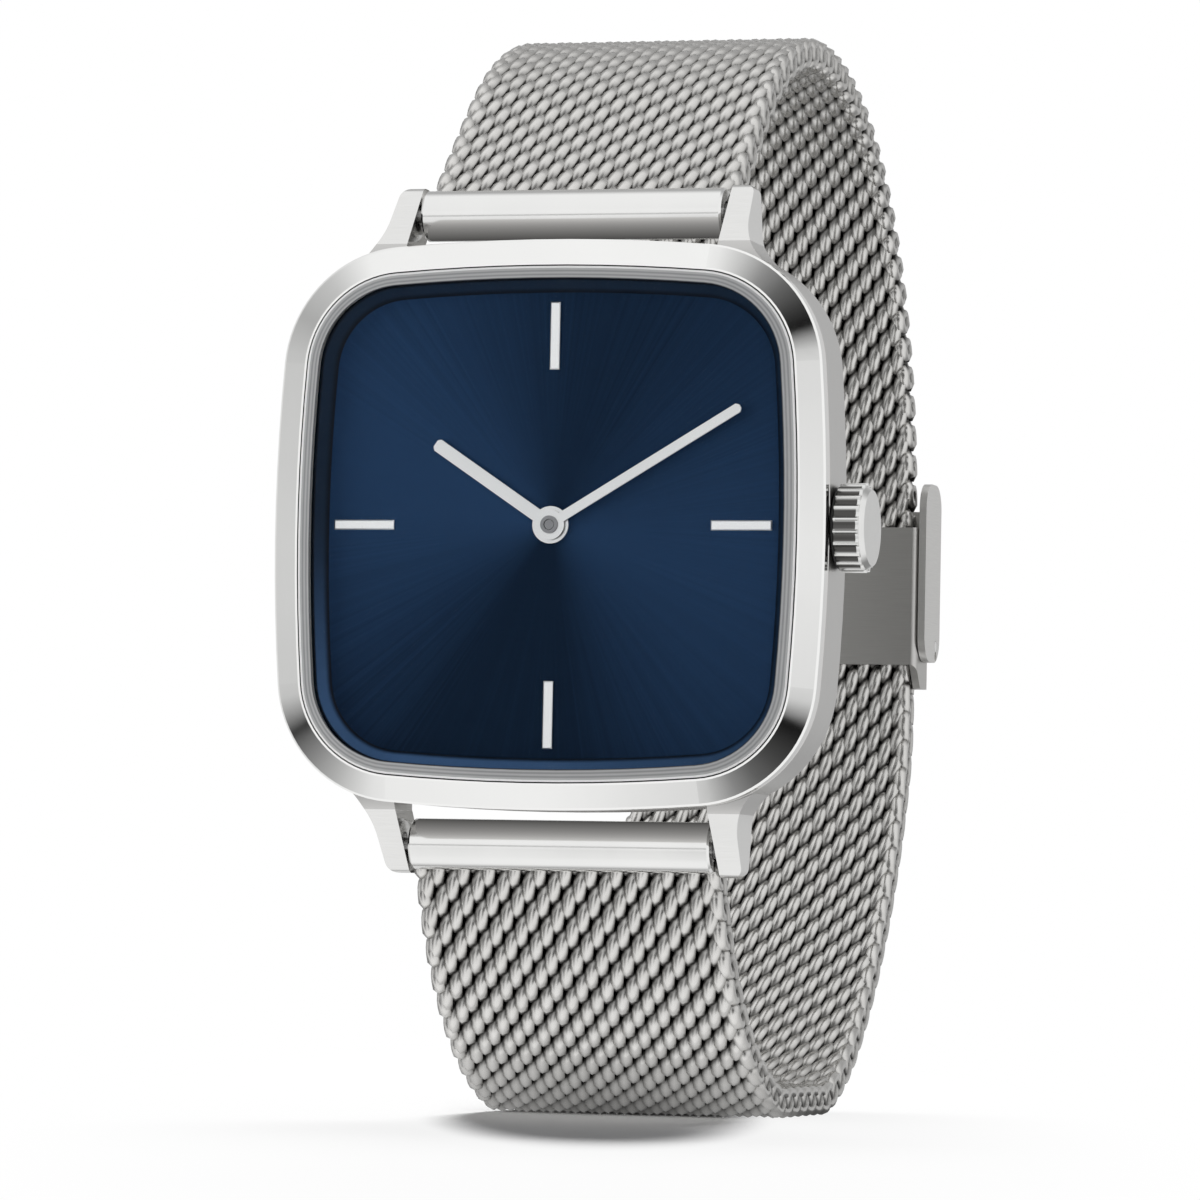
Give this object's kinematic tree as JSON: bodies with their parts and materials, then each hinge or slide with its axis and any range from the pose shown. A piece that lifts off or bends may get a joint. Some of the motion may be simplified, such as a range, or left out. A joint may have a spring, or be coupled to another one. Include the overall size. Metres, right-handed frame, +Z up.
{
  "type": "square wristwatch on a woven wire strap",
  "caption": "Square steel wristwatch with a blue dial, fluted crown and closed woven wire strap with a folding clasp; the hands, crown, strap halves, clasp and spring bars move.",
  "frame": {"origin": "middle of the flat patch under the strap on which the watch stands", "axes": "+Z up along the dial from six to twelve, -Y out of the dial towards the viewer, +X towards the crown"},
  "size_m": [0.034, 0.0571, 0.0642],
  "materials": {
    "case_steel": "polished, side band satin",
    "strap_steel": "woven wire, brightly polished",
    "clasp_steel": "satin, folds polished",
    "glass": "clear",
    "dial_blue": "sunray brushed lacquer",
    "rehaut_blue": "satin lacquer",
    "hand_steel": "polished",
    "rubber_black": "smooth",
    "brass": "plain",
    "plastic": "plain",
    "cell_steel": "plain",
    "board_green": "plain",
    "coil_copper": "enamelled wire",
    "iron": "plain",
    "spring_steel": "plain"
  },
  "bodies": {
    "case": {"mid_case": "case_steel", "bezel": "case_steel", "crystal": "glass", "crystal_gasket": "rubber_black", "rehaut": "rehaut_blue", "dial": "dial_blue", "hour_markers": "hand_steel", "case_back": "case_steel", "back_gasket": "rubber_black", "back_screws": "hand_steel", "crown_tube": "case_steel", "movement_holder": "plastic", "main_plate": "brass", "train_bridge": "brass", "movement_screws": "hand_steel", "battery": "cell_steel", "battery_clamp": "spring_steel", "circuit_board": "board_green", "quartz_can": "cell_steel", "coil": "coil_copper", "coil_core": "iron", "stator": "iron", "upper_bar_shell": "spring_steel", "upper_bar_spring": "spring_steel", "lower_bar_shell": "spring_steel", "lower_bar_spring": "spring_steel"},
    "minutes": {"minute_hand": "hand_steel", "cannon_pinion": "hand_steel", "centre_wheel": "brass"},
    "hours": {"hour_hand": "hand_steel", "hour_wheel": "brass"},
    "minute_train": {"minute_wheel": "brass"},
    "setting_train": {"setting_wheel": "brass"},
    "intermediate": {"intermediate_wheel": "brass"},
    "rotor": {"rotor_magnet": "iron", "rotor_pinion": "hand_steel"},
    "clutch": {"sliding_pinion": "spring_steel"},
    "crown": {"crown": "case_steel", "crown_gasket": "rubber_black", "winding_stem": "spring_steel"},
    "lever": {"setting_lever": "spring_steel"},
    "upper_right_tip": {"upper_right_bar_tip": "spring_steel"},
    "upper_left_tip": {"upper_left_bar_tip": "spring_steel"},
    "lower_right_tip": {"lower_right_bar_tip": "spring_steel"},
    "lower_left_tip": {"lower_left_bar_tip": "spring_steel"},
    "upper_strap": {"upper_mesh_strap": "strap_steel", "upper_end_tube": "case_steel", "strap_end_hook": "spring_steel"},
    "lower_strap": {"lower_mesh_strap": "strap_steel", "lower_end_tube": "case_steel", "clasp_base": "clasp_steel", "cover_hinge_pin": "spring_steel"},
    "cover": {"clasp_cover": "clasp_steel", "lock_bar": "clasp_steel"}
  },
  "joints": [
    {"name": "minute_hand_spin", "type": "hinge", "parent": "case", "child": "minutes", "pos_m": [0, -0.02617, 0.03339], "axis": [0, 1, 0], "continuous": true},
    {"name": "hour_hand_spin", "type": "hinge", "parent": "case", "child": "hours", "pos_m": [0, -0.02617, 0.03339], "axis": [0, 1, 0], "continuous": true},
    {"name": "minute_wheel_spin", "type": "hinge", "parent": "case", "child": "minute_train", "pos_m": [0.00208, -0.02617, 0.03219], "axis": [0, 1, 0], "continuous": true},
    {"name": "setting_wheel_spin", "type": "hinge", "parent": "case", "child": "setting_train", "pos_m": [0.00452, -0.02617, 0.03308], "axis": [0, 1, 0], "continuous": true},
    {"name": "intermediate_wheel_spin", "type": "hinge", "parent": "case", "child": "intermediate", "pos_m": [-0.00109, -0.02617, 0.03639], "axis": [0, 1, 0], "continuous": true},
    {"name": "rotor_spin", "type": "hinge", "parent": "case", "child": "rotor", "pos_m": [-0.00364, -0.02617, 0.03708], "axis": [0, 1, 0], "continuous": true},
    {"name": "crown_spin", "type": "hinge", "parent": "case", "child": "clutch", "pos_m": [0, -0.02406, 0.03339], "axis": [1, 0, 0], "continuous": true},
    {"name": "crown_pull", "type": "slide", "parent": "clutch", "child": "crown", "axis": [1, 0, 0], "range_m": [0, 0.0009]},
    {"name": "setting_lever_turn", "type": "hinge", "parent": "case", "child": "lever", "pos_m": [0.0063, -0.02346, 0.03559], "axis": [0, -1, 0], "range_deg": [0, 23.6]},
    {"name": "upper_strap_hinge", "type": "hinge", "parent": "case", "child": "upper_strap", "pos_m": [0, -0.02236, 0.05129], "axis": [1, 0, 0], "range_deg": [0, 100]},
    {"name": "lower_strap_hinge", "type": "hinge", "parent": "case", "child": "lower_strap", "pos_m": [0, -0.02236, 0.01549], "axis": [-1, 0, 0], "range_deg": [0, 100]},
    {"name": "clasp_cover_hinge", "type": "hinge", "parent": "lower_strap", "child": "cover", "pos_m": [0, 0.02823, 0.02934], "axis": [-1, 0, 0], "range_deg": [0, 110]},
    {"name": "upper_right_tip_slide", "type": "slide", "parent": "case", "child": "upper_right_tip", "axis": [-1, 0, 0], "range_m": [0, 0.0009], "stiffness_N_per_m": 1500, "springref_m": -0.0006, "deforming": ["upper_bar_spring"]},
    {"name": "upper_left_tip_slide", "type": "slide", "parent": "case", "child": "upper_left_tip", "axis": [1, 0, 0], "range_m": [0, 0.0009], "stiffness_N_per_m": 1500, "springref_m": -0.0006, "deforming": ["upper_bar_spring"]},
    {"name": "lower_right_tip_slide", "type": "slide", "parent": "case", "child": "lower_right_tip", "axis": [-1, 0, 0], "range_m": [0, 0.0009], "stiffness_N_per_m": 1500, "springref_m": -0.0006, "deforming": ["lower_bar_spring"]},
    {"name": "lower_left_tip_slide", "type": "slide", "parent": "case", "child": "lower_left_tip", "axis": [1, 0, 0], "range_m": [0, 0.0009], "stiffness_N_per_m": 1500, "springref_m": -0.0006, "deforming": ["lower_bar_spring"]}
  ],
  "couplings": [
    {"joint": "hour_hand_spin", "follows": "minute_hand_spin", "ratio": 0.083333},
    {"joint": "minute_wheel_spin", "follows": "minute_hand_spin", "ratio": -0.33333},
    {"joint": "setting_wheel_spin", "follows": "minute_hand_spin", "ratio": 0.75},
    {"joint": "intermediate_wheel_spin", "follows": "minute_hand_spin", "ratio": -9},
    {"joint": "rotor_spin", "follows": "minute_hand_spin", "ratio": 90},
    {"joint": "setting_lever_turn", "follows": "crown_pull", "rad_per_m": 454.5}
  ]
}
